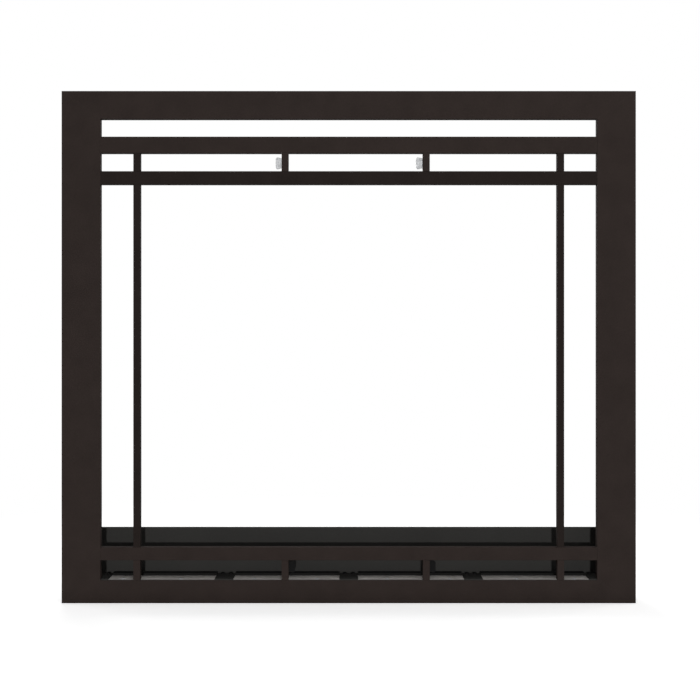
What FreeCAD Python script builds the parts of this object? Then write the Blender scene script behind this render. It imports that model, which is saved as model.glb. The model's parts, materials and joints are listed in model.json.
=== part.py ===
"""Steel fireplace facade: folded frame, bar grid, recessed apron, screen clips and hanger hooks.

Millimetres. X runs to the right, Y from the face towards the back, Z up from the hearth.
Pieces are drawn with the face at Y = 0 and moved once, when they are saved, so that the
origin lies under the middle of the whole depth.
"""

import FreeCAD, Part
import math
import os

from FreeCAD import Placement, Rotation, Vector

# Overall size
overall_width = 1056.0
overall_height = 942.0
return_depth = 65.0

# Folded frame sheet
frame_sheet = 2.0
fold_radius = 1.2
grid_depth = 12.0

# Frame faces
stile_width = 71.5
top_rail_height = 51.5
bottom_rail_height = 42.5

# Grid, from the top down, with the main opening taking what is left
top_slot = 32.4
upper_crossbar_height = 30.4
pane_row = 33.1
middle_crossbar_height = 24.4
lower_crossbar_height = 24.0
lower_slot = 36.5

# Mullions
mullion_width = 12.7
mullion_edge_radius = 0.8
side_light_width = 60.4
short_mullion_shift = 12.75

# Corner gussets
gusset_sheet = 2.5
gusset_reach = 75.0
gusset_gap = 4.0
gusset_corner_radius = 6.0
gusset_stud_margin = 16.0

# Apron shelf
shelf_sheet = 1.2
shelf_depth = 60.0
shelf_flange = 14.0
shelf_bend_radius = 2.0
shelf_front = 2.8
shelf_end_overlap = 23.0

# Apron panel and its seal
apron_sheet = 1.2
apron_setback = 54.0
apron_height = 82.0
apron_flange = 9.0
apron_bend_radius = 2.0
apron_end_overlap = 20.2
foot_width = 34.4
foot_screw_spacing = 15.0
foot_screw_setback = 7.0
feet_each_side = 2
seal_height = 4.6
seal_reach = 19.0
seal_tuck = 2.0

# Screen clips
clip_sheet = 1.5
clip_pivot_width = 12.7
clip_tip_width = 24.0
clip_reach = 18.0
clip_corner_radius = 4.0
clip_swing_gap = 1.2
clip_thumb_height = 6.0
clip_thumb_width = 10.0
pivot_radius = 2.5
pivot_thread_length = 7.0
pivot_head_radius = 5.0
pivot_head_height = 2.6
washer_radius = 5.0
washer_sheet = 0.5

# Hanger hooks
hook_sheet = 2.5
hook_reach = 15.0
hook_slot = 5.0
hook_slot_height = 14.0
hook_finger_height = 28.0
hook_plate_height = 60.0
hook_plate_depth = 38.0
hook_end_height = 180.0
hook_stud_spacing = 36.0
hook_corner_radius = 4.0

# Fasteners, 4 mm size
thread_radius = 2.0
screw_head_radius = 3.8
screw_head_height = 2.4
screw_recess_depth = 1.4
screw_recess_width = 1.1
screw_recess_reach = 2.3
mullion_screw_length = 10.0
apron_screw_length = 9.0
rivet_head_radius = 4.0
rivet_head_height = 1.5
rivet_tail_radius = 2.9
rivet_tail_length = 2.5
stud_length = 11.0
nut_width = 7.0
nut_height = 3.2
nut_flange_radius = 4.5
nut_flange_height = 0.8

# Clearances
fit_gap = 0.05
hole_gap = 0.25
notch_gap = 0.5
running_gap = 0.15

# Levels of the grid
lower_row_bottom = bottom_rail_height
lower_row_top = lower_row_bottom + lower_slot
main_bottom = lower_row_top + lower_crossbar_height
top_slot_top = overall_height - top_rail_height
top_slot_bottom = top_slot_top - top_slot
upper_row_top = top_slot_bottom - upper_crossbar_height
upper_row_bottom = upper_row_top - pane_row
main_top = upper_row_bottom - middle_crossbar_height

# Places across the grid
half_width = overall_width / 2
half_opening = half_width - stile_width
long_mullion_x = half_opening - side_light_width - mullion_width / 2
short_mullions = {
    "left": short_mullion_shift - long_mullion_x / 3,
    "right": short_mullion_shift + long_mullion_x / 3,
}
long_mullions = {"left": -long_mullion_x, "right": long_mullion_x}
lower_mullions = [*long_mullions.values(), *short_mullions.values()]
grid_fastener_y = (frame_sheet + grid_depth) / 2

# Places of the apron
shelf_top = bottom_rail_height + shelf_sheet
apron_bottom = shelf_top + seal_height
apron_top = apron_bottom + apron_height
half_apron = half_opening + apron_end_overlap
foot_pitch = (half_apron - foot_width / 2) / feet_each_side
foot_places = [foot_pitch * step for step in range(-feet_each_side, feet_each_side + 1)]
foot_screw_y = apron_setback - foot_screw_setback

overall_depth = return_depth + hook_reach


def rounded_outline(corners, place):
    """Closed face through corners (u, v, radius), rounded where they have one; place puts u, v in space."""
    edges = []
    spans = []
    for number, (u, v, radius) in enumerate(corners):
        corner = Vector(u, v, 0)
        before = Vector(*corners[number - 1][:2], 0)
        after = Vector(*corners[(number + 1) % len(corners)][:2], 0)
        to_before = (before - corner).normalize()
        to_after = (after - corner).normalize()
        half_angle = to_before.getAngle(to_after) / 2
        tangent = radius / math.tan(half_angle)
        inward = (to_before + to_after).normalize()
        middle = corner + inward * (radius / math.sin(half_angle) - radius)
        spans.append((corner + to_before * tangent, middle, corner + to_after * tangent, radius))
    for number, (start, middle, end, radius) in enumerate(spans):
        if radius > 0:
            arc = Part.Arc(place(start.x, start.y), place(middle.x, middle.y), place(end.x, end.y))
            edges.append(arc.toShape())
        following = spans[(number + 1) % len(spans)][0]
        if (following - end).Length > fit_gap / 1000:
            edges.append(Part.LineSegment(place(end.x, end.y), place(following.x, following.y)).toShape())
    return Part.Face(Part.Wire(edges))


def box(x_span, y_span, z_span):
    """Box between two limits on each axis."""
    corner = Vector(x_span[0], y_span[0], z_span[0])
    return Part.makeBox(
        x_span[1] - x_span[0], y_span[1] - y_span[0], z_span[1] - z_span[0], corner
    )


def hole(base, direction, radius, depth):
    """Cylinder to cut, from base along direction."""
    return Part.makeCylinder(radius, depth, base, direction)


def through_hole(centre, direction, radius):
    """Cylinder to cut through any one sheet at centre."""
    reach = direction * (grid_depth / 2)
    return hole(centre - reach, direction, radius, grid_depth)


def stand(shape, base, direction):
    """Copy of a shape drawn up the Z axis, stood at base along direction."""
    return shape.transformed(Placement(base, Rotation(Vector(0, 0, 1), direction)).toMatrix())


def cut_all(shape, tools):
    """Shape with every tool cut away."""
    return shape.cut(tools) if tools else shape


# Fasteners, drawn up the Z axis with their seat at the origin

def pan_screw(length):
    """Pan-head screw with a cross recess, its shank pointing down."""
    head = Part.makeCylinder(screw_head_radius, screw_head_height)
    top_edge = [edge for edge in head.Edges if edge.BoundBox.ZMin > screw_head_height / 2]
    head = head.makeFillet(screw_head_height / 2, top_edge)
    shank = Part.makeCylinder(thread_radius, length, Vector(0, 0, -length))
    arm = (-screw_recess_reach, screw_recess_reach)
    across = (-screw_recess_width / 2, screw_recess_width / 2)
    depth = (screw_head_height - screw_recess_depth, screw_head_height)
    return head.fuse(shank).cut([box(arm, across, depth), box(across, arm, depth)])


def rivet(grip):
    """Set rivet through a grip of sheets: domed head above, bulged tail below."""
    tail_end = -grip - rivet_tail_length
    rim = Vector(rivet_head_radius, 0, 0)
    crown = Vector(0, 0, rivet_head_height)
    dome_radius = (rivet_head_radius ** 2 + rivet_head_height ** 2) / (2 * rivet_head_height)
    half_way = rivet_head_radius / 2
    rise = math.sqrt(dome_radius ** 2 - half_way ** 2) - dome_radius
    shoulder = Vector(half_way, 0, rivet_head_height + rise)
    outline = [
        crown,
        Vector(0, 0, tail_end),
        Vector(rivet_tail_radius, 0, tail_end),
        Vector(rivet_tail_radius, 0, -grip),
        Vector(thread_radius, 0, -grip),
        Vector(thread_radius, 0, 0),
        rim,
    ]
    edges = [Part.LineSegment(a, b).toShape() for a, b in zip(outline, outline[1:])]
    edges.append(Part.Arc(rim, shoulder, crown).toShape())
    return Part.Face(Part.Wire(edges)).revolve(Vector(0, 0, 0), Vector(0, 0, 1), 360)


def stud():
    """Weld stud standing on a sheet."""
    body = Part.makeCylinder(thread_radius, stud_length)
    tip = [edge for edge in body.Edges if edge.BoundBox.ZMin > stud_length / 2]
    return body.makeChamfer(thread_radius / 4, tip)


def flange_nut():
    """Hexagon nut with a coned crown on a round flange, bored for a stud."""
    corner = nut_width / math.sqrt(3)
    ring = [
        Vector(corner * math.cos(turn * math.pi / 3), corner * math.sin(turn * math.pi / 3), 0)
        for turn in range(7)
    ]
    body = Part.Face(Part.makePolygon(ring)).extrude(Vector(0, 0, nut_height))
    crown_radius = nut_width / 2
    body = body.common(Part.makeCone(crown_radius + nut_height * math.sqrt(3), crown_radius, nut_height))
    flange = Part.makeCylinder(nut_flange_radius, nut_flange_height)
    bore = Part.makeCylinder(thread_radius + fit_gap, nut_height)
    return body.fuse(flange).cut(bore)


# Folded frame

def channel_corners(face_width):
    """Section of a frame member: across the face from its outer edge, then depth behind the face."""
    return [
        (0, 0, fold_radius),
        (face_width, 0, fold_radius),
        (face_width, grid_depth, 0),
        (face_width - frame_sheet, grid_depth, 0),
        (face_width - frame_sheet, frame_sheet, 0),
        (frame_sheet, frame_sheet, 0),
        (frame_sheet, return_depth, 0),
        (0, return_depth, 0),
    ]


def mitred(shape, corners):
    """Part of a frame member between its two mitre planes, given by their corners (x, z) on the face."""
    ring = [Vector(x, 0, z) for x, z in [*corners, corners[0]]]
    keep = Part.Face(Part.makePolygon(ring)).extrude(Vector(0, return_depth, 0))
    return shape.common(keep)


def crossbar_levels():
    """Each crossbar's name with its lowest and highest level."""
    return {
        "upper_crossbar": (upper_row_top, top_slot_bottom),
        "middle_crossbar": (main_top, upper_row_bottom),
        "lower_crossbar": (lower_row_top, main_bottom),
    }


def make_rails():
    """Top and bottom rails, the bottom one drilled for the lower mullions and the shelf."""
    def run(place, face_height):
        return rounded_outline(channel_corners(face_height), place).extrude(Vector(overall_width, 0, 0))

    top = run(lambda u, v: Vector(-half_width, v, overall_height - u), top_rail_height)
    top = mitred(top, [
        (-half_width, overall_height),
        (half_width, overall_height),
        (half_opening, top_slot_top),
        (-half_opening, top_slot_top),
    ])
    bottom = run(lambda u, v: Vector(-half_width, v, u), bottom_rail_height)
    bottom = mitred(bottom, [
        (-half_width, 0),
        (half_width, 0),
        (half_opening, bottom_rail_height),
        (-half_opening, bottom_rail_height),
    ])
    lip_level = bottom_rail_height - frame_sheet / 2
    drill_places = [(x, thread_radius + hole_gap) for x in lower_mullions]
    drill_places += [(x, thread_radius + fit_gap) for x in shelf_rivet_places()]
    tools = [
        through_hole(Vector(x, grid_fastener_y, lip_level), Vector(0, 0, 1), radius)
        for x, radius in drill_places
    ]
    return {"top_rail": top, "bottom_rail": cut_all(bottom, tools)}


def make_stiles():
    """Left and right stiles, their lips drilled for the crossbar rivets."""
    stiles = {}
    for name, side in (("left_stile", -1), ("right_stile", 1)):
        section = rounded_outline(
            channel_corners(stile_width), lambda u, v: Vector(side * (half_width - u), v, 0)
        )
        shape = section.extrude(Vector(0, 0, overall_height))
        shape = mitred(shape, [
            (side * half_width, 0),
            (side * half_width, overall_height),
            (side * half_opening, top_slot_top),
            (side * half_opening, bottom_rail_height),
        ])
        lip_x = side * (half_opening + frame_sheet / 2)
        tools = [
            through_hole(
                Vector(lip_x, grid_fastener_y, (low + high) / 2), Vector(1, 0, 0), thread_radius + fit_gap
            )
            for low, high in crossbar_levels().values()
        ]
        stiles[name] = cut_all(shape, tools)
    return stiles


# Corner gussets

def gusset_places():
    """Each gusset with its side (-1 left, 1 right), end (-1 bottom, 1 top) and inner corner's level."""
    return {
        "top_left_gusset": (-1, 1, top_slot_top),
        "top_right_gusset": (1, 1, top_slot_top),
        "bottom_left_gusset": (-1, -1, bottom_rail_height),
        "bottom_right_gusset": (1, -1, bottom_rail_height),
    }


def gusset_studs(side, end, inner_z):
    """Places (x, z) of a gusset's four studs: two on the stile, two on the rail."""
    outer_z = overall_height if end > 0 else 0
    stile_x = side * (half_opening + half_width) / 2
    rail_z = (inner_z + outer_z) / 2
    near = gusset_stud_margin
    far = gusset_reach - gusset_stud_margin
    return [
        (stile_x, inner_z - end * near),
        (stile_x, inner_z - end * far),
        (side * (half_opening - near), rail_z),
        (side * (half_opening - far), rail_z),
    ]


def make_gussets():
    """L-shaped plates behind the mitres, with their studs and nuts."""
    clear = frame_sheet + gusset_gap
    pieces = {}
    studs = []
    nuts = []
    for name, (side, end, inner_z) in gusset_places().items():
        outer_z = (overall_height if end > 0 else 0) - end * clear
        inside_z = inner_z + end * clear
        reach_z = inner_z - end * gusset_reach
        outer_x = side * (half_width - clear)
        inside_x = side * (half_opening + clear)
        reach_x = side * (half_opening - gusset_reach)
        corners = [
            (outer_x, outer_z, gusset_corner_radius),
            (reach_x, outer_z, gusset_corner_radius),
            (reach_x, inside_z, gusset_corner_radius),
            (inside_x, inside_z, 0),
            (inside_x, reach_z, gusset_corner_radius),
            (outer_x, reach_z, gusset_corner_radius),
        ]
        plate = rounded_outline(corners, lambda u, v: Vector(u, frame_sheet, v))
        plate = plate.extrude(Vector(0, gusset_sheet, 0))
        back = Vector(0, 1, 0)
        tools = []
        for x, z in gusset_studs(side, end, inner_z):
            seat = Vector(x, frame_sheet, z)
            tools.append(hole(seat, back, thread_radius + hole_gap, gusset_sheet))
            studs.append(stand(stud(), seat, back))
            nuts.append(stand(flange_nut(), seat + back * gusset_sheet, back))
        pieces[name] = cut_all(plate, tools)
    pieces["gusset_studs"] = Part.makeCompound(studs)
    pieces["gusset_nuts"] = Part.makeCompound(nuts)
    return pieces


# Crossbars and mullions

def make_crossbars():
    """Folded trays between the stiles, open at the back, and the rivets through their ends."""
    pieces = {}
    rivets = []
    seats = mullion_seats()
    for name, (low, high) in crossbar_levels().items():
        section = [
            (0, low, fold_radius),
            (0, high, fold_radius),
            (grid_depth, high, 0),
            (grid_depth, low, 0),
        ]
        bar = rounded_outline(section, lambda u, v: Vector(-half_opening, u, v))
        bar = bar.extrude(Vector(2 * half_opening, 0, 0))
        inside = half_opening - frame_sheet
        tools = [box((-inside, inside), (frame_sheet, grid_depth), (low + frame_sheet, high - frame_sheet))]
        middle = (low + high) / 2
        for side in (-1, 1):
            end_plate = Vector(side * inside, grid_fastener_y, middle)
            outward = Vector(side, 0, 0)
            tools.append(through_hole(end_plate, outward, thread_radius + fit_gap))
            rivets.append(stand(rivet(2 * frame_sheet), end_plate, outward * -1))
        for x, level, way in seats:
            if level in (low, high):
                flange = Vector(x, grid_fastener_y, level - way * frame_sheet / 2)
                tools.append(through_hole(flange, Vector(0, 0, 1), thread_radius + hole_gap))
        pieces[name] = cut_all(bar, tools)
    pieces["crossbar_rivets"] = Part.makeCompound(rivets)
    return pieces


def mullion_lengths():
    """Each mullion's name with its place across and its lowest and highest level."""
    lengths = {}
    for side, x in long_mullions.items():
        lengths[f"{side}_upper_mullion"] = (x, upper_row_bottom, upper_row_top)
        lengths[f"{side}_main_mullion"] = (x, main_bottom, main_top)
        lengths[f"{side}_lower_mullion"] = (x, lower_row_bottom, lower_row_top)
    for side, x in short_mullions.items():
        lengths[f"{side}_upper_short_mullion"] = (x, upper_row_bottom, upper_row_top)
        lengths[f"{side}_lower_short_mullion"] = (x, lower_row_bottom, lower_row_top)
    return lengths


def mullion_seats():
    """Every mullion end: place across, level, and the way (1 up, -1 down) its screw points."""
    seats = []
    for x, low, high in mullion_lengths().values():
        seats.append((x, low, 1))
        seats.append((x, high, -1))
    return seats


def make_mullions():
    """Square bars tapped at both ends, and the screws that hold them."""
    pieces = {}
    tap_radius = thread_radius + fit_gap
    tap_depth = mullion_screw_length
    for name, (x, low, high) in mullion_lengths().items():
        half = mullion_width / 2
        section = [
            (x - half, 0, mullion_edge_radius),
            (x + half, 0, mullion_edge_radius),
            (x + half, grid_depth, 0),
            (x - half, grid_depth, 0),
        ]
        bar = rounded_outline(section, lambda u, v: Vector(u, v, low))
        bar = bar.extrude(Vector(0, 0, high - low))
        tools = [
            hole(Vector(x, grid_fastener_y, low), Vector(0, 0, 1), tap_radius, tap_depth),
            hole(Vector(x, grid_fastener_y, high), Vector(0, 0, -1), tap_radius, tap_depth),
        ]
        if name in clip_pivots():
            pivot_z = clip_pivots()[name][1]
            back = Vector(x, grid_depth, pivot_z)
            tools.append(hole(back, Vector(0, -1, 0), tap_radius, pivot_thread_length))
        pieces[name] = cut_all(bar, tools)
    screws = [
        stand(
            pan_screw(mullion_screw_length),
            Vector(x, grid_fastener_y, level - way * frame_sheet),
            Vector(0, 0, -way),
        )
        for x, level, way in mullion_seats()
    ]
    pieces["mullion_screws"] = Part.makeCompound(screws)
    return pieces


# Shelf, apron and seal

def shelf_rivet_places():
    """Places across for the shelf's rivets, midway between the feet and mullions."""
    end_foot_edge = half_apron - foot_width
    stations = sorted([-end_foot_edge, end_foot_edge, *foot_places[1:-1], *lower_mullions])
    return [(a + b) / 2 for a, b in zip(stations, stations[1:])]


def stile_lip_clearance(side):
    """Space that shelf and apron leave round a stile's inner lip."""
    near = half_opening - notch_gap
    span = sorted((side * near, side * half_width))
    return box(span, (0, grid_depth + notch_gap), (0, apron_top))


def make_shelf():
    """Plain sheet shelf on the bottom rail's lip, notched round the mullions, with a flange down its back."""
    half_length = half_opening + shelf_end_overlap
    under = bottom_rail_height
    flange_front = shelf_depth - shelf_sheet
    section = [
        (shelf_front, shelf_top, 0),
        (shelf_depth, shelf_top, shelf_bend_radius),
        (shelf_depth, under - shelf_flange, 0),
        (flange_front, under - shelf_flange, 0),
        (flange_front, under, shelf_bend_radius - shelf_sheet),
        (shelf_front, under, 0),
    ]
    shelf = rounded_outline(section, lambda u, v: Vector(-half_length, u, v))
    shelf = shelf.extrude(Vector(2 * half_length, 0, 0))
    tools = [stile_lip_clearance(side) for side in (-1, 1)]
    half_notch = mullion_width / 2 + notch_gap
    for x in lower_mullions:
        tools.append(box((x - half_notch, x + half_notch), (0, grid_depth + notch_gap), (under, shelf_top)))
    rivets = []
    up = Vector(0, 0, 1)
    for x in shelf_rivet_places():
        seat = Vector(x, grid_fastener_y, shelf_top)
        tools.append(through_hole(seat, up, thread_radius + fit_gap))
        rivets.append(stand(rivet(shelf_sheet + frame_sheet), seat, up))
    for x, y in foot_screw_places():
        tools.append(through_hole(Vector(x, y, shelf_top), up, thread_radius + fit_gap))
    return {
        "apron_shelf": cut_all(shelf, tools),
        "shelf_rivets": Part.makeCompound(rivets),
    }


def foot_screw_places():
    """Places (x, y) of the screws through the apron's feet."""
    return [
        (x + side * foot_screw_spacing / 2, foot_screw_y) for x in foot_places for side in (-1, 1)
    ]


def make_apron():
    """Black panel on feet hooked over the shelf's front edge, its screws, and the seal between the feet."""
    front = apron_setback
    back = apron_setback + apron_sheet
    inner_bend = apron_bend_radius - apron_sheet
    panel_section = [
        (front, apron_bottom, 0),
        (front, apron_top, apron_bend_radius),
        (back + apron_flange, apron_top, 0),
        (back + apron_flange, apron_top - apron_sheet, 0),
        (back, apron_top - apron_sheet, inner_bend),
        (back, apron_bottom, 0),
    ]
    panel = rounded_outline(panel_section, lambda u, v: Vector(-half_apron, u, v))
    panel = panel.extrude(Vector(2 * half_apron, 0, 0))
    foot_top = shelf_top + apron_sheet
    lip_front = shelf_front - apron_bend_radius
    lip_back = lip_front + apron_sheet
    foot_section = [
        (lip_front, bottom_rail_height, 0),
        (lip_back, bottom_rail_height, 0),
        (lip_back, shelf_top, inner_bend),
        (back, shelf_top, apron_bend_radius),
        (back, apron_bottom, 0),
        (front, apron_bottom, 0),
        (front, foot_top, inner_bend),
        (lip_front, foot_top, apron_bend_radius),
    ]
    feet = []
    for x in foot_places:
        foot = rounded_outline(foot_section, lambda u, v: Vector(x - foot_width / 2, u, v))
        feet.append(foot.extrude(Vector(foot_width, 0, 0)))
    tools = [stile_lip_clearance(side) for side in (-1, 1)]
    screws = []
    up = Vector(0, 0, 1)
    for x, y in foot_screw_places():
        tools.append(hole(Vector(x, y, shelf_top), up, thread_radius + hole_gap, apron_sheet))
        screws.append(stand(pan_screw(apron_screw_length), Vector(x, y, foot_top), up))
    seals = []
    for left_foot, right_foot in zip(foot_places, foot_places[1:]):
        span = (left_foot + foot_width / 2, right_foot - foot_width / 2)
        depth = (front - seal_reach, front + seal_tuck)
        seals.append(box(span, depth, (shelf_top, apron_bottom)))
    return {
        "apron_panel": cut_all(panel.fuse(feet).removeSplitter(), tools),
        "apron_screws": Part.makeCompound(screws),
        "apron_seal": Part.makeCompound(seals),
    }


# Screen clips

def clip_pivots():
    """Each clip's mullion with the place (x, z) of the pivot on its back and the way the clip points."""
    swing = math.hypot(clip_reach - clip_corner_radius, clip_tip_width / 2 - clip_corner_radius)
    upper_z = (upper_row_bottom + upper_row_top) / 2
    lower_z = shelf_top + swing + clip_corner_radius + clip_swing_gap
    pivots = {}
    for side, x in short_mullions.items():
        pivots[f"{side}_upper_short_mullion"] = (x, upper_z, -1)
        pivots[f"{side}_lower_short_mullion"] = (x, lower_z, 1)
    return pivots


def make_clips():
    """Turn clips on shoulder screws behind the short mullions, each on a washer."""
    pieces = {}
    screws = []
    washers = []
    back = Vector(0, 1, 0)
    clip_front = grid_depth + washer_sheet + running_gap
    head_seat = clip_front + clip_sheet + running_gap
    for mullion, (x, z, way) in clip_pivots().items():
        half_pivot = clip_pivot_width / 2
        half_tip = clip_tip_width / 2
        tip = x + way * clip_reach
        round_end = x - way * half_pivot
        outline = [
            (tip, z - half_tip, clip_corner_radius),
            (round_end, z - half_pivot, half_pivot),
            (round_end, z + half_pivot, half_pivot),
            (tip, z + half_tip, clip_corner_radius),
        ]
        plate = rounded_outline(outline, lambda u, v: Vector(u, clip_front, v))
        plate = plate.extrude(Vector(0, clip_sheet, 0))
        thumb = box(
            sorted((tip, tip - way * clip_sheet)),
            (clip_front, clip_front + clip_sheet + clip_thumb_height),
            (z - clip_thumb_width / 2, z + clip_thumb_width / 2),
        )
        bore = through_hole(Vector(x, clip_front, z), back, pivot_radius + fit_gap)
        name = mullion.replace("short_mullion", "screen_clip")
        pieces[name] = plate.fuse(thumb).removeSplitter().cut(bore)
        shoulder = Part.makeCylinder(pivot_radius, head_seat - grid_depth, Vector(x, grid_depth, z), back)
        thread = Part.makeCylinder(
            thread_radius, pivot_thread_length, Vector(x, grid_depth - pivot_thread_length, z), back
        )
        head = Part.makeCylinder(pivot_head_radius, pivot_head_height, Vector(x, head_seat, z), back)
        rim = [edge for edge in head.Edges if edge.BoundBox.YMin > head_seat + pivot_head_height / 2]
        head = head.makeFillet(pivot_head_height / 4, rim)
        slot_floor = head_seat + pivot_head_height - screw_recess_depth
        slot = box(
            (x - pivot_head_radius, x + pivot_head_radius),
            (slot_floor, head_seat + pivot_head_height),
            (z - screw_recess_width / 2, z + screw_recess_width / 2),
        )
        screws.append(thread.fuse([shoulder, head]).removeSplitter().cut(slot))
        washer = Part.makeCylinder(washer_radius, washer_sheet, Vector(x, grid_depth, z), back)
        washers.append(washer.cut(through_hole(Vector(x, grid_depth, z), back, pivot_radius + fit_gap)))
    pieces["clip_pivot_screws"] = Part.makeCompound(screws)
    pieces["clip_washers"] = Part.makeCompound(washers)
    return pieces


# Hanger hooks

def make_hooks():
    """Flat J hooks inside the side returns, with their studs and nuts."""
    levels = {"lower": hook_end_height, "upper": overall_height - hook_end_height}
    pieces = {}
    studs = []
    nuts = []
    plate_front = return_depth - hook_plate_depth
    tooth_front = return_depth + hook_slot
    finger_end = return_depth + hook_reach
    for end, level in levels.items():
        finger_top = level + hook_finger_height / 2
        finger_bottom = level - hook_finger_height / 2
        outline = [
            (plate_front, level - hook_plate_height / 2, hook_corner_radius),
            (return_depth, level - hook_plate_height / 2, 0),
            (return_depth, finger_bottom + hook_slot_height, 0),
            (tooth_front, finger_bottom + hook_slot_height, 0),
            (tooth_front, finger_bottom, 0),
            (finger_end, finger_bottom, hook_corner_radius),
            (finger_end, finger_top, hook_corner_radius),
            (return_depth, finger_top, 0),
            (return_depth, level + hook_plate_height / 2, hook_corner_radius),
            (plate_front, level + hook_plate_height / 2, hook_corner_radius),
        ]
        for name, side in (("left", -1), ("right", 1)):
            wall = side * (half_width - frame_sheet)
            inward = Vector(-side, 0, 0)
            plate = rounded_outline(outline, lambda u, v: Vector(wall, u, v)).extrude(inward * hook_sheet)
            tools = []
            for step in (-1, 1):
                seat = Vector(
                    wall, plate_front + hook_plate_depth / 2, level + step * hook_stud_spacing / 2
                )
                tools.append(hole(seat, inward, thread_radius + hole_gap, hook_sheet))
                studs.append(stand(stud(), seat, inward))
                nuts.append(stand(flange_nut(), seat + inward * hook_sheet, inward))
            pieces[f"{name}_{end}_hook"] = cut_all(plate, tools)
    pieces["hook_studs"] = Part.makeCompound(studs)
    pieces["hook_nuts"] = Part.makeCompound(nuts)
    return pieces


def save(pieces):
    """One STEP file for each piece, moved so that the origin is under the middle of the depth."""
    os.makedirs("parts", exist_ok=True)
    to_origin = Vector(0, -overall_depth / 2, 0)
    for name, shape in pieces.items():
        shape.translated(to_origin).exportStep(f"parts/{name}.step")


for make in (
    make_rails,
    make_stiles,
    make_gussets,
    make_crossbars,
    make_mullions,
    make_shelf,
    make_apron,
    make_clips,
    make_hooks,
):
    save(make())
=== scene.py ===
"""Studio scene of the steel fireplace facade: finishes, seal tape, welds, threads, light and camera."""

import json
import math

import bpy
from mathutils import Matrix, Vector


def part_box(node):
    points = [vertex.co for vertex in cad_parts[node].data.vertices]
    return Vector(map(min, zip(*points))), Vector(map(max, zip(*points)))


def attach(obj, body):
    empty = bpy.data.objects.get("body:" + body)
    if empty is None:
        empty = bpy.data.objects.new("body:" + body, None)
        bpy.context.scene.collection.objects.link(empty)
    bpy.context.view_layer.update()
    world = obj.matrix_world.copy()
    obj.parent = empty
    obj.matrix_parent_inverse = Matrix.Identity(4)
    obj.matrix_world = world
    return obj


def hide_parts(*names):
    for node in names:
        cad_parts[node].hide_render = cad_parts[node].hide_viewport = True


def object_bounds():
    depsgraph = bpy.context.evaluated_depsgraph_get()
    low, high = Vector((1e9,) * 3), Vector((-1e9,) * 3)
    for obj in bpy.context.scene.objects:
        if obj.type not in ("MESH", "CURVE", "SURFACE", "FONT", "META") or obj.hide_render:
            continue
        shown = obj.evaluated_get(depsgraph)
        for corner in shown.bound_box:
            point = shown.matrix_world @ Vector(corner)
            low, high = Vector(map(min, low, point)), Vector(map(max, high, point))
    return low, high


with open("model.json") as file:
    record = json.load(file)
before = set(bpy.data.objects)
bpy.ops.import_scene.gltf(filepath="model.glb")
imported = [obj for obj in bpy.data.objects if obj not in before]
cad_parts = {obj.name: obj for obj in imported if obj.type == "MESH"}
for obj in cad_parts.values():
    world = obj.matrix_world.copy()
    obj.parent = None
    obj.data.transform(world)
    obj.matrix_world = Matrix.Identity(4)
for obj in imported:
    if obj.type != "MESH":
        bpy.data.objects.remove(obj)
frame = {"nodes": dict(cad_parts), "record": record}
cad_low, cad_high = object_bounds()

# Photograph in pixels, and a lens that gives its perspective
PHOTO_PIXELS = 700
OBJECT_WIDTH_PIXELS = 574.54
OBJECT_CENTRE_PIXELS = (348.73, 347.13)
LENS_MM = 55.0
SENSOR_MM = 36.0

# Light, with lamp sizes and places in metres
WHITE = (1.0, 1.0, 1.0, 1.0)
WORLD_LEVEL = 0.13
BACKGROUND_LEVEL = 1.0
KEY_STRENGTH = 2.23
KEY_SOFTNESS_DEG = 3.0
KEY_FROM_RIGHT_DEG = 1.0
KEY_FROM_ABOVE_DEG = 0.5
TOP_LIGHT_WATTS = 22.0
TOP_LIGHT_SIZE = 2.0
TOP_LIGHT_PLACE = (0.8, -1.4, 2.4)
BACK_LIGHT_WATTS = 46.0
BACK_LIGHT_SIZE = 2.0
BACK_LIGHT_PLACE = (-0.7, 2.4, 1.7)
SIDE_LIGHT_WATTS = 24.0
SIDE_LIGHT_SIZE = 1.6
SIDE_LIGHT_PLACE = (2.6, 0.5, 1.1)

# Floor, round, with its glow and the distances over which it fades to white
FLOOR_RADIUS = 2.0
FLOOR_SIDES = 96
FLOOR_TONE = 0.75
FLOOR_GLOW = 0.58
FLOOR_FADE_START = 0.75
FLOOR_FADE_END = 1.4

# Thin bars in a darker copy of the frame's coat, painted shade given as a share of its tone
BAR_SHADED_TONE = 0.6
SHADED_BAR_NODES = (
    "left_main_mullion", "right_main_mullion", "left_upper_mullion", "right_upper_mullion", "middle_crossbar",
)

# Worn edges with a painted highlight: cosines of the turn, within the wear's radius, that count as a sharp
# edge and as a flat
EDGE_SHARP = 0.80
EDGE_FLAT = 0.995
EDGE_SAMPLES = 6

# Depth of the painted shade along the cut front edge of the shelf
SHADED_EDGE_DEPTH = 0.0006

# Seal tape: braid, rounded corners, mesh step, and the width that the panel presses flat
BRAID_PITCH = 0.0036
BRAID_RELIEF = 0.0004
SEAL_CORNER = 0.0014
SEAL_CORNER_STEPS = 3
SEAL_STEP = 0.0009
SEAL_PRESSED = 0.0030
SEAL_PRESS_FADE = 0.0020
SEAL_END_DECIMALS = 5

# Weld beads: size, ripples and mesh, with shares of the leg for their ends, growth and hollow face
FRAME_SHEET = 0.002
BEAD_LEG = 0.0032
BEAD_RIPPLE = 0.00045
BEAD_PITCH = 0.0022
BEAD_STEP = 0.00055
BEAD_SINK = 0.0001
BEAD_END_GAP = 0.002
BEAD_END_SHARE = 0.35
BEAD_GROWTH_SHARE = 0.2
BEAD_HOLLOW_SHARE = 0.22
BEAD_FACETS = 6

# Stud threads
THREAD_PITCH = 0.0007
THREAD_DEPTH = 0.0004
THREAD_SIDES = 16
THREAD_STEPS = 6
STUD_COLLAR = 0.001
STUD_POINT = 0.0006
STUD_SPREAD = 0.015

# Sockets of a colour mix node, which share their names with others of that node
MIX_SHARE = 0
MIX_FIRST = 6
MIX_SECOND = 7
MIX_COLOUR = 2


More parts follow.
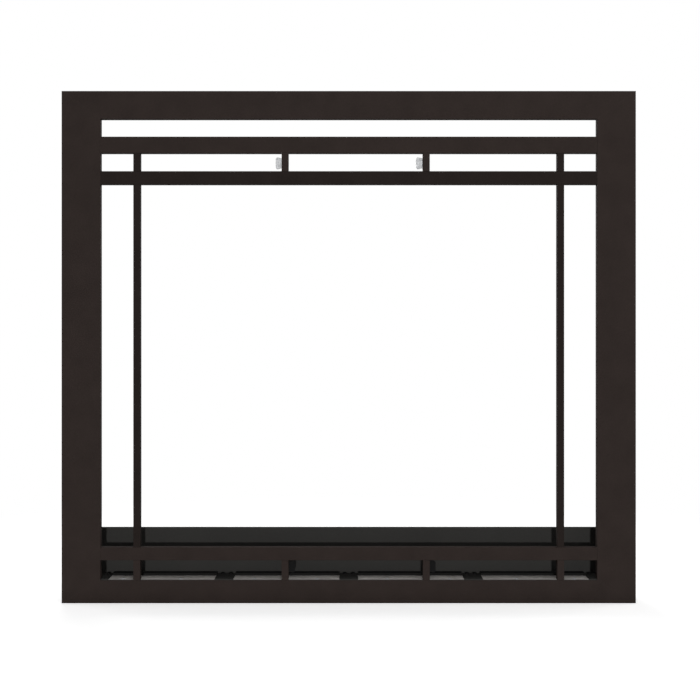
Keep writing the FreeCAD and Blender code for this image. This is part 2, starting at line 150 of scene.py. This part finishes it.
def opaque(colour):
    """A colour with its alpha of 1, or a socket as it is."""
    return (*colour, 1.0) if isinstance(colour, tuple) else colour


class Nodes:
    """The node tree of a material or world, cleared and built node by node."""

    def __init__(self, owner):
        owner.use_nodes = True
        self.tree = owner.node_tree
        self.tree.nodes.clear()

    def add(self, kind, inputs=None, **settings):
        """New node; inputs maps a socket to a value or to another node's output."""
        node = self.tree.nodes.new(kind)
        for key, value in settings.items():
            setattr(node, key, value)
        self.feed(node, inputs or {})
        return node

    def feed(self, node, inputs):
        """Sets or links a node's inputs."""
        for key, value in inputs.items():
            if isinstance(value, bpy.types.NodeSocket):
                self.tree.links.new(value, node.inputs[key])
            else:
                node.inputs[key].default_value = value

    def combine(self, operation, first, second):
        """Two values put together by a math operation."""
        return self.add("ShaderNodeMath", {0: first, 1: second}, operation=operation).outputs[0]

    def blend(self, share, first, second):
        """Surface between first and second."""
        return self.add("ShaderNodeMixShader", {0: share, 1: first, 2: second}).outputs[0]

    def seen_rays(self):
        """1 for rays that show the background: camera, glossy and transmission rays."""
        path = self.add("ShaderNodeLightPath")
        seen = path.outputs["Is Camera Ray"]
        for name in ("Is Glossy Ray", "Is Transmission Ray"):
            seen = self.combine("MAXIMUM", seen, path.outputs[name])
        return seen


class Shader(Nodes):
    """A material with one principled surface."""

    def __init__(self, name):
        self.material = bpy.data.materials.new(name)
        super().__init__(self.material)
        self.surface = self.add("ShaderNodeBsdfPrincipled")
        self.add("ShaderNodeOutputMaterial", {"Surface": self.surface.outputs["BSDF"]})

    def place(self, stretch=None):
        """Position in metres, stretched by axis where asked."""
        coordinates = self.add("ShaderNodeTexCoord").outputs["Object"]
        if stretch is None:
            return coordinates
        return self.add("ShaderNodeMapping", {"Vector": coordinates, "Scale": stretch}).outputs["Vector"]

    def noise(self, place, scale, detail=3.0, roughness=0.55):
        """Noise value, with scale in features a metre."""
        inputs = {"Vector": place, "Scale": scale, "Detail": detail, "Roughness": roughness}
        return self.add("ShaderNodeTexNoise", inputs).outputs["Fac"]

    def ramp(self, value, stops):
        """Colour ramp through (position, colour) stops."""
        node = self.add("ShaderNodeValToRGB", {"Fac": value})
        for element, (position, colour) in zip(node.color_ramp.elements, stops):
            element.position = position
            element.color = opaque(colour)
        return node.outputs["Color"]

    def span(self, value, low, high, start=0.0, end=1.0):
        """Value between low and high as the input goes from start to end."""
        inputs = {"Value": value, "From Min": start, "From Max": end, "To Min": low, "To Max": high}
        return self.add("ShaderNodeMapRange", inputs).outputs["Result"]

    def mix(self, share, first, second):
        """Colour between first and second."""
        inputs = {MIX_SHARE: share, MIX_FIRST: opaque(first), MIX_SECOND: opaque(second)}
        return self.add("ShaderNodeMix", inputs, data_type="RGBA").outputs[MIX_COLOUR]

    def edges(self, radius):
        """Share, 0 on flats to 1 on sharp edges within radius."""
        rounded = self.add("ShaderNodeBevel", {"Radius": radius}, samples=EDGE_SAMPLES).outputs["Normal"]
        flat = self.add("ShaderNodeNewGeometry").outputs["Normal"]
        same = self.add("ShaderNodeVectorMath", {0: rounded, 1: flat}, operation="DOT_PRODUCT")
        return self.span(same.outputs["Value"], low=1.0, high=0.0, start=EDGE_SHARP, end=EDGE_FLAT)

    def bump(self, height, strength, distance, under=None):
        """Normal raised by a height, over another normal where one lies under it."""
        inputs = {"Height": height, "Strength": strength, "Distance": distance}
        if under is not None:
            inputs["Normal"] = under
        return self.add("ShaderNodeBump", inputs).outputs["Normal"]

    def finish(self, inputs):
        """Feeds the surface and gives the material."""
        self.feed(self.surface, inputs)
        return self.material


# Materials

def bronze_powder_coat(name, depth):
    """Dark bronze coat: fine grained, slightly cloudy, lighter on its edges as a little rubbing and a painted
    edge highlight.
    """
    def tint(red, green, blue):
        """A colour of the coat, scaled by depth, which darkens it as painted shade where it is below 1."""
        return (red * depth, green * depth, blue * depth)

    dark = tint(0.0166, 0.0121, 0.0107)
    light = tint(0.0214, 0.0156, 0.0138)
    grain_tip = tint(0.0350, 0.0264, 0.0236)
    rubbed_edge_highlight = tint(0.0327, 0.0252, 0.0225)
    shader = Shader(name)
    place = shader.place()
    cloud = shader.noise(place, scale=22.0)
    peel = shader.noise(place, scale=420.0, detail=2.0)
    grain = shader.noise(place, scale=1000.0, detail=2.0)
    tone = shader.ramp(cloud, [(0.30, dark), (0.70, light)])
    grain_share = shader.span(grain, low=0.0, high=0.8, start=0.45, end=0.70)
    grained = shader.mix(grain_share, tone, grain_tip)
    dimpled = shader.bump(peel, strength=0.25, distance=0.0006)
    return shader.finish({
        # Lighter on sharp edges: a little rubbing, and a painted highlight.
        "Base Color": shader.mix(shader.edges(radius=0.0007), grained, rubbed_edge_highlight),
        "Roughness": shader.span(grain, low=0.68, high=0.82),
        "Specular IOR Level": 0.04,
        "Normal": shader.bump(grain, strength=0.35, distance=0.0003, under=dimpled),
    })


def black_heat_paint():
    """Matte black sprayed paint with a fine tooth and a trace of dust in patches."""
    clean = (0.0213, 0.0208, 0.0198)
    dusty = (0.0247, 0.0241, 0.0227)
    tooth_tip = (0.0370, 0.0360, 0.0342)
    shader = Shader("black_heat_paint")
    place = shader.place()
    tooth = shader.noise(place, scale=1300.0, detail=2.0)
    patch = shader.noise(place, scale=9.0)
    tone = shader.ramp(patch, [(0.35, clean), (0.70, dusty)])
    tooth_share = shader.span(tooth, low=0.0, high=0.6, start=0.45, end=0.70)
    return shader.finish({
        "Base Color": shader.mix(tooth_share, tone, tooth_tip),
        "Roughness": shader.span(patch, low=0.76, high=0.86),
        "Specular IOR Level": 0.03,
        "Normal": shader.bump(tooth, strength=0.18, distance=0.0002),
    })


def galvanised_sheet(front_edge):
    """Dull galvanised steel with a faint spangle, and painted shade along its cut front edge."""
    dark_flake = (0.434, 0.413, 0.394)
    light_flake = (0.562, 0.536, 0.51)
    hazy = (0.444, 0.422, 0.402)
    edge_shade_steel = (0.045, 0.042, 0.040)
    shader = Shader("galvanised_steel")
    place = shader.place()
    spangle = shader.add("ShaderNodeTexVoronoi", {"Vector": place, "Scale": 130.0})
    flake = shader.add("ShaderNodeSeparateColor", {"Color": spangle.outputs["Color"]}).outputs["Red"]
    haze = shader.noise(place, scale=35.0)
    tone = shader.ramp(flake, [(0.0, dark_flake), (1.0, light_flake)])
    dulled = shader.mix(shader.span(haze, low=0.0, high=0.5, start=0.4, end=0.8), tone, hazy)
    # Painted shade: a thin band along the cut front edge is coloured near black.
    depth = shader.add("ShaderNodeSeparateXYZ", {"Vector": place}).outputs["Y"]
    inner_end = front_edge + SHADED_EDGE_DEPTH
    edge_shade_share = shader.span(depth, low=1.0, high=0.0, start=inner_end - SHADED_EDGE_DEPTH / 2, end=inner_end)
    return shader.finish({
        "Base Color": shader.mix(edge_shade_share, dulled, edge_shade_steel),
        "Metallic": 0.25,
        "Roughness": shader.span(flake, low=0.50, high=0.64),
        "Normal": shader.bump(haze, strength=0.05, distance=0.0005),
    })


def zinc_plate():
    """Dull zinc plate: fine rolling lines, a cloudy mottle, and edges lighter from wear and a painted
    highlight.
    """
    cool = (0.298, 0.304, 0.312)
    pale = (0.344, 0.346, 0.348)
    spot = (0.218, 0.227, 0.240)
    worn_edge_highlight = (0.44, 0.44, 0.44)
    shader = Shader("zinc_plate")
    place = shader.place()
    lines = shader.noise(shader.place(stretch=(1.0, 1.0, 12.0)), scale=420.0, detail=2.0)
    blush = shader.noise(place, scale=60.0)
    mottle = shader.noise(place, scale=520.0, detail=4.0)
    tone = shader.ramp(blush, [(0.3, cool), (0.7, pale)])
    mottled = shader.mix(shader.span(mottle, low=0.0, high=0.8, start=0.50, end=0.72), tone, spot)
    return shader.finish({
        # Lighter on sharp edges: wear, and a painted highlight.
        "Base Color": shader.mix(shader.edges(radius=0.0004), mottled, worn_edge_highlight),
        "Metallic": 0.5,
        "Roughness": shader.span(mottle, low=0.50, high=0.68, start=0.35, end=0.70),
        "Normal": shader.bump(lines, strength=0.14, distance=0.0002),
    })


def black_oxide():
    """Black oxide steel, a little oily."""
    dark = (0.0032, 0.0032, 0.0034)
    light = (0.0070, 0.0068, 0.0066)
    shader = Shader("black_oxide")
    stain = shader.noise(shader.place(), scale=240.0)
    return shader.finish({
        "Base Color": shader.ramp(stain, [(0.3, dark), (0.7, light)]),
        "Roughness": shader.span(stain, low=0.50, high=0.66),
        "Specular IOR Level": 0.03,
    })


def seal_tape():
    """Woven glass tape, quite matte; its near-black tone is painted shade where the gap under the apron panel
    lies in shade.
    """
    dark = (0.0058, 0.0057, 0.0056)
    light = (0.0150, 0.0147, 0.0142)
    shader = Shader("seal_tape")
    fuzz = shader.noise(shader.place(), scale=2600.0, detail=4.0)
    return shader.finish({
        "Base Color": shader.ramp(fuzz, [(0.3, dark), (0.75, light)]),
        "Roughness": 0.95,
        "Specular IOR Level": 0.05,
        "Normal": shader.bump(fuzz, strength=0.4, distance=0.0003),
    })


FINISHES = {
    "bronze_powder_coat": bronze_powder_coat("bronze_powder_coat", depth=1.0),
    "black_paint": black_heat_paint(),
    "galvanised_steel": galvanised_sheet(front_edge=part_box("apron_shelf")[0].y),
    "zinc_plate": zinc_plate(),
    "black_oxide": black_oxide(),
    "seal_tape": seal_tape(),
}
# The thin bars' coat is the frame's coat made darker: painted shade, not a second paint.
SHADED_BAR_FINISH = bronze_powder_coat("bronze_bar_painted_shade", depth=BAR_SHADED_TONE)


def dress_nodes():
    """Gives every CAD node the finish of its material slot, with a darker copy of the coat as painted shade
    on the thin bars.
    """
    for subpart in frame["record"]["subparts"]:
        name = subpart["node"]
        materials = frame["nodes"][name].data.materials
        materials.clear()
        materials.append(SHADED_BAR_FINISH if name in SHADED_BAR_NODES else FINISHES[subpart["material_slot"]])


# Pieces made here

def add_object(name, data):
    """Object in the scene that holds a mesh, lamp or camera."""
    thing = bpy.data.objects.new(name, data)
    bpy.context.scene.collection.objects.link(thing)
    return thing


def add_piece(name, points, faces, slot):
    """Closed mesh piece that rides on the frame body with the finish of a slot."""
    mesh = bpy.data.meshes.new(name)
    mesh.from_pydata(points, [], faces)
    mesh.materials.append(FINISHES[slot])
    piece = add_object(name, mesh)
    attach(piece, "frame")
    return piece


def tube(rings):
    """Points and faces of a closed tube through rings of equal count, capped at both ends."""
    count = len(rings[0])
    points = [point for ring in rings for point in ring]
    faces = []
    for row in range(len(rings) - 1):
        near = row * count
        far = near + count
        for place in range(count):
            following = (place + 1) % count
            faces.append((near + place, near + following, far + following, far + place))
    faces.append(tuple(reversed(range(count))))
    last = (len(rings) - 1) * count
    faces.append(tuple(range(last, last + count)))
    return points, faces


def merge(parts):
    """Points and faces of several tubes as one mesh."""
    points = []
    faces = []
    for part_points, part_faces in parts:
        start = len(points)
        points += part_points
        faces += [tuple(index + start for index in face) for face in part_faces]
    return points, faces


def corner_arcs(half_y, half_z, radius, steps):
    """Points (y, z, outward y, outward z) along the four rounded corners of a rectangle, in turn."""
    points = []
    for side_y, side_z, start in ((1, 1, 0), (-1, 1, 90), (-1, -1, 180), (1, -1, 270)):
        centre_y = side_y * (half_y - radius)
        centre_z = side_z * (half_z - radius)
        for turn in range(steps + 1):
            angle = math.radians(start + 90 * turn / steps)
            out_y = math.cos(angle)
            out_z = math.sin(angle)
            points.append((centre_y + radius * out_y, centre_z + radius * out_z, out_y, out_z))
    return points


def walk_round(outline, step):
    """Points about a step apart round a closed outline, each with the way walked to it, and the whole way."""
    walked = []
    travelled = 0.0
    for point, following in zip(outline, outline[1:] + outline[:1]):
        length = math.hypot(following[0] - point[0], following[1] - point[1])
        parts = max(1, round(length / step))
        for part in range(parts):
            share = part / parts
            between = [here + (there - here) * share for here, there in zip(point, following)]
            walked.append((*between, travelled + length * share))
        travelled += length
    return walked, travelled


def braid_height(along, round_it, girth):
    """Height of a diagonal braid at a point of a strip, 0 in its grooves to 1 on its strands."""
    turns = max(2, round(girth / BRAID_PITCH))
    across = round_it * turns / girth
    lengthwise = along / BRAID_PITCH
    first = math.sin(math.pi * (lengthwise + across))
    second = math.sin(math.pi * (lengthwise - across))
    return math.sqrt(abs(first * second))


def braid_relief(y, half_depth):
    """Depth of the braid's grooves, which runs out at the back where the panel stands on the tape."""
    free = (half_depth - SEAL_PRESSED - y) / SEAL_PRESS_FADE
    return BRAID_RELIEF * min(1.0, max(0.0, free))


def make_seal_tape():
    """Braided strips between the apron's feet, in place of the plain ones."""
    low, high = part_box("apron_seal")
    centre = (low + high) / 2
    half = (high - low) / 2
    vertices = frame["nodes"]["apron_seal"].data.vertices
    ends = sorted({round(vertex.co.x, SEAL_END_DECIMALS) for vertex in vertices})
    outline, girth = walk_round(corner_arcs(half.y, half.z, SEAL_CORNER, SEAL_CORNER_STEPS), SEAL_STEP)
    strips = []
    for start, end in zip(ends[0::2], ends[1::2]):
        steps = round((end - start) / SEAL_STEP)
        rings = []
        for step in range(steps + 1):
            x = start + (end - start) * step / steps
            ring = []
            for y, z, out_y, out_z, travelled in outline:
                sink = braid_relief(y, half.y) * (1 - braid_height(x, travelled, girth))
                ring.append((x, centre.y + y - out_y * sink, centre.z + z - out_z * sink))
            rings.append(ring)
        strips.append(tube(rings))
    # The strips carry the near-black tape, which is painted shade along the foot of the apron panel.
    piece = add_piece("seal_strips", *merge(strips), "seal_tape")
    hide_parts("apron_seal")


def bead_section(leg):
    """Points (u, v) of a weld's section: the corner, one leg, the hollow face and the other leg."""
    section = [(-BEAD_SINK, -BEAD_SINK), (leg, -BEAD_SINK)]
    for turn in range(1, BEAD_FACETS):
        angle = math.radians(90 * turn / BEAD_FACETS)
        reach = leg * (1 - BEAD_HOLLOW_SHARE * math.sin(2 * angle))
        section.append((reach * math.cos(angle), reach * math.sin(angle)))
    section.append((-BEAD_SINK, leg))
    return section


def bead_leg(y, steps_from_end):
    """Leg of a weld's section, rippled along it and smaller at its ends."""
    taper = min(1.0, BEAD_END_SHARE + BEAD_GROWTH_SHARE * steps_from_end)
    return BEAD_LEG * taper + BEAD_RIPPLE * abs(math.sin(math.pi * y / BEAD_PITCH))


def make_corner_welds():
    """Rippled fillet welds inside the four corners of the frame's returns."""
    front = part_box("top_left_gusset")[1].y
    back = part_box("top_rail")[1].y - BEAD_END_GAP
    steps = round((back - front) / BEAD_STEP)
    side_walls = (("left", 1, cad_low.x + FRAME_SHEET), ("right", -1, cad_high.x - FRAME_SHEET))
    level_walls = (("bottom", 1, cad_low.z + FRAME_SHEET), ("top", -1, cad_high.z - FRAME_SHEET))
    for side, inward, wall_x in side_walls:
        for level, upward, wall_z in level_walls:
            rings = []
            for step in range(steps + 1):
                y = front + (back - front) * step / steps
                section = bead_section(bead_leg(y, min(step, steps - step)))
                rings.append([(wall_x + inward * u, y, wall_z + upward * v) for u, v in section])
            if inward * upward > 0:
                rings.reverse()
            add_piece(f"corner_weld_{level}_{side}", *tube(rings), "bronze_powder_coat")


def corner_of(points, pick):
    """Lowest or highest corner of the box round some points, as pick is min or max."""
    return Vector([pick(point[axis] for point in points) for axis in range(3)])


def separate_boxes(name, spread):
    """Lowest and highest corners of a node's solids, none of which is longer than spread."""
    groups = []
    for vertex in frame["nodes"][name].data.vertices:
        near = [group for group in groups if (group[0] - vertex.co).length < spread]
        if near:
            near[0].append(vertex.co)
        else:
            groups.append([vertex.co])
    return [(corner_of(group, min), corner_of(group, max)) for group in groups]


def stud_radius(along, turn, length, crest):
    """Radius of a stud: a plain collar at its weld, a thread above it and a tapered point."""
    if along < STUD_COLLAR:
        return crest
    phase = (along / THREAD_PITCH - turn) % 1.0
    ridge = 1 - abs(2 * phase - 1)
    point = crest - max(0.0, STUD_POINT - (length - along))
    return min(point, crest - THREAD_DEPTH * (1 - ridge))


def threaded_stud(base, way, length, crest):
    """Points and faces of a stud from its welded base."""
    across = way.orthogonal().normalized()
    beside = way.cross(across)
    steps = round(length / THREAD_PITCH * THREAD_STEPS)
    rings = []
    for step in range(steps + 1):
        along = length * step / steps
        ring = []
        for side in range(THREAD_SIDES):
            turn = side / THREAD_SIDES
            angle = 2 * math.pi * turn
            out = across * math.cos(angle) + beside * math.sin(angle)
            ring.append(base + way * along + out * stud_radius(along, turn, length, crest))
        rings.append(ring)
    return tube(rings)


def make_threaded_studs():
    """Weld studs with rolled threads in place of the plain ones, pointing back or in from the sides."""
    for node in ("gusset_studs", "hook_studs"):
        studs = []
        for low, high in separate_boxes(node, STUD_SPREAD):
            size = high - low
            centre = (low + high) / 2
            if size.y > size.x:
                way = Vector((0, 1, 0))
            else:
                way = Vector((-math.copysign(1, centre.x), 0, 0))
            length = max(size)
            studs.append(threaded_stud(centre - way * length / 2, way, length, min(size) / 2))
        piece = add_piece(f"threaded_{node}", *merge(studs), "zinc_plate")
        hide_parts(node)


# Stage

def floor_white():
    """Pale floor that keeps a light shadow and fades to white away from the object."""
    material = bpy.data.materials.new("floor_white")
    nodes = Nodes(material)
    seen = nodes.seen_rays()
    place = nodes.add("ShaderNodeTexCoord").outputs["Object"]
    distance = nodes.add("ShaderNodeVectorMath", {0: place}, operation="LENGTH").outputs["Value"]
    fade_inputs = {"Value": distance, "From Min": FLOOR_FADE_START, "From Max": FLOOR_FADE_END}
    fade = nodes.add("ShaderNodeMapRange", fade_inputs, interpolation_type="SMOOTHSTEP").outputs["Result"]
    diffuse = nodes.add("ShaderNodeBsdfDiffuse", {"Color": (FLOOR_TONE, FLOOR_TONE, FLOOR_TONE, 1.0)})
    glow = nodes.add("ShaderNodeEmission", {"Strength": nodes.combine("MULTIPLY", seen, FLOOR_GLOW)})
    near = nodes.add("ShaderNodeAddShader", {0: diffuse.outputs[0], 1: glow.outputs[0]})
    white = nodes.add("ShaderNodeEmission", {"Color": WHITE, "Strength": BACKGROUND_LEVEL})
    share = nodes.combine("MULTIPLY", fade, seen)
    surface = nodes.blend(share, near.outputs[0], white.outputs[0])
    nodes.add("ShaderNodeOutputMaterial", {"Surface": surface})
    return material


def make_floor():
    """Round floor under the object."""
    turns = [2 * math.pi * side / FLOOR_SIDES for side in range(FLOOR_SIDES)]
    rim = [(FLOOR_RADIUS * math.cos(turn), FLOOR_RADIUS * math.sin(turn), cad_low.z) for turn in turns]
    mesh = bpy.data.meshes.new("floor")
    mesh.from_pydata(rim, [], [tuple(range(FLOOR_SIDES))])
    mesh.materials.append(floor_white())
    add_object("floor", mesh)


def make_world():
    """Soft even light, white where the background shows."""
    world = bpy.data.worlds.new("studio")
    nodes = Nodes(world)
    soft = nodes.add("ShaderNodeBackground", {"Color": WHITE, "Strength": WORLD_LEVEL})
    white = nodes.add("ShaderNodeBackground", {"Color": WHITE, "Strength": BACKGROUND_LEVEL})
    surface = nodes.blend(nodes.seen_rays(), soft.outputs[0], white.outputs[0])
    nodes.add("ShaderNodeOutputWorld", {"Surface": surface})
    bpy.context.scene.world = world


def put_lamp(light, place, towards):
    """Lamp at a place, shining one way and not seen itself."""
    lamp = add_object(light.name, light)
    lamp.location = place
    lamp.rotation_euler = towards.to_track_quat("-Z", "Y").to_euler()
    lamp.visible_camera = False


def make_key_light():
    """Frontal sun, a little soft, from slightly right and above."""
    key = bpy.data.lights.new("key", "SUN")
    key.energy = KEY_STRENGTH
    key.angle = math.radians(KEY_SOFTNESS_DEG)
    above = math.radians(KEY_FROM_ABOVE_DEG)
    right = math.radians(KEY_FROM_RIGHT_DEG)
    level = math.cos(above)
    towards = Vector((-math.sin(right) * level, math.cos(right) * level, -math.sin(above)))
    put_lamp(key, Vector((0, 0, 0)), towards)


def make_soft_lights():
    """Large soft lamps overhead, behind and at both sides, aimed at the middle of the object."""
    centre = (cad_low + cad_high) / 2
    side_x, side_y, side_z = SIDE_LIGHT_PLACE
    for name, watts, size, place in (
        ("top", TOP_LIGHT_WATTS, TOP_LIGHT_SIZE, TOP_LIGHT_PLACE),
        ("back", BACK_LIGHT_WATTS, BACK_LIGHT_SIZE, BACK_LIGHT_PLACE),
        ("right", SIDE_LIGHT_WATTS, SIDE_LIGHT_SIZE, (side_x, side_y, side_z)),
        ("left", SIDE_LIGHT_WATTS, SIDE_LIGHT_SIZE, (-side_x, side_y, side_z)),
    ):
        light = bpy.data.lights.new(name, "AREA")
        light.energy = watts
        light.size = size
        put_lamp(light, Vector(place), centre - Vector(place))


def make_camera():
    """Level camera straight in front, framed as the photograph."""
    metres_a_pixel = (cad_high.x - cad_low.x) / OBJECT_WIDTH_PIXELS
    distance = PHOTO_PIXELS * metres_a_pixel * LENS_MM / SENSOR_MM
    centre = (cad_low + cad_high) / 2
    middle = PHOTO_PIXELS / 2
    data = bpy.data.cameras.new("camera")
    data.lens = LENS_MM
    data.sensor_width = SENSOR_MM
    camera = add_object("camera", data)
    camera.location = (
        centre.x + (middle - OBJECT_CENTRE_PIXELS[0]) * metres_a_pixel,
        cad_low.y - distance,
        centre.z - (middle - OBJECT_CENTRE_PIXELS[1]) * metres_a_pixel,
    )
    camera.rotation_euler = (math.pi / 2, 0, 0)
    bpy.context.scene.camera = camera


dress_nodes()
make_seal_tape()
make_corner_welds()
make_threaded_studs()
make_floor()
make_world()
make_key_light()
make_soft_lights()
make_camera()
bpy.context.scene.view_settings.view_transform = "Standard"
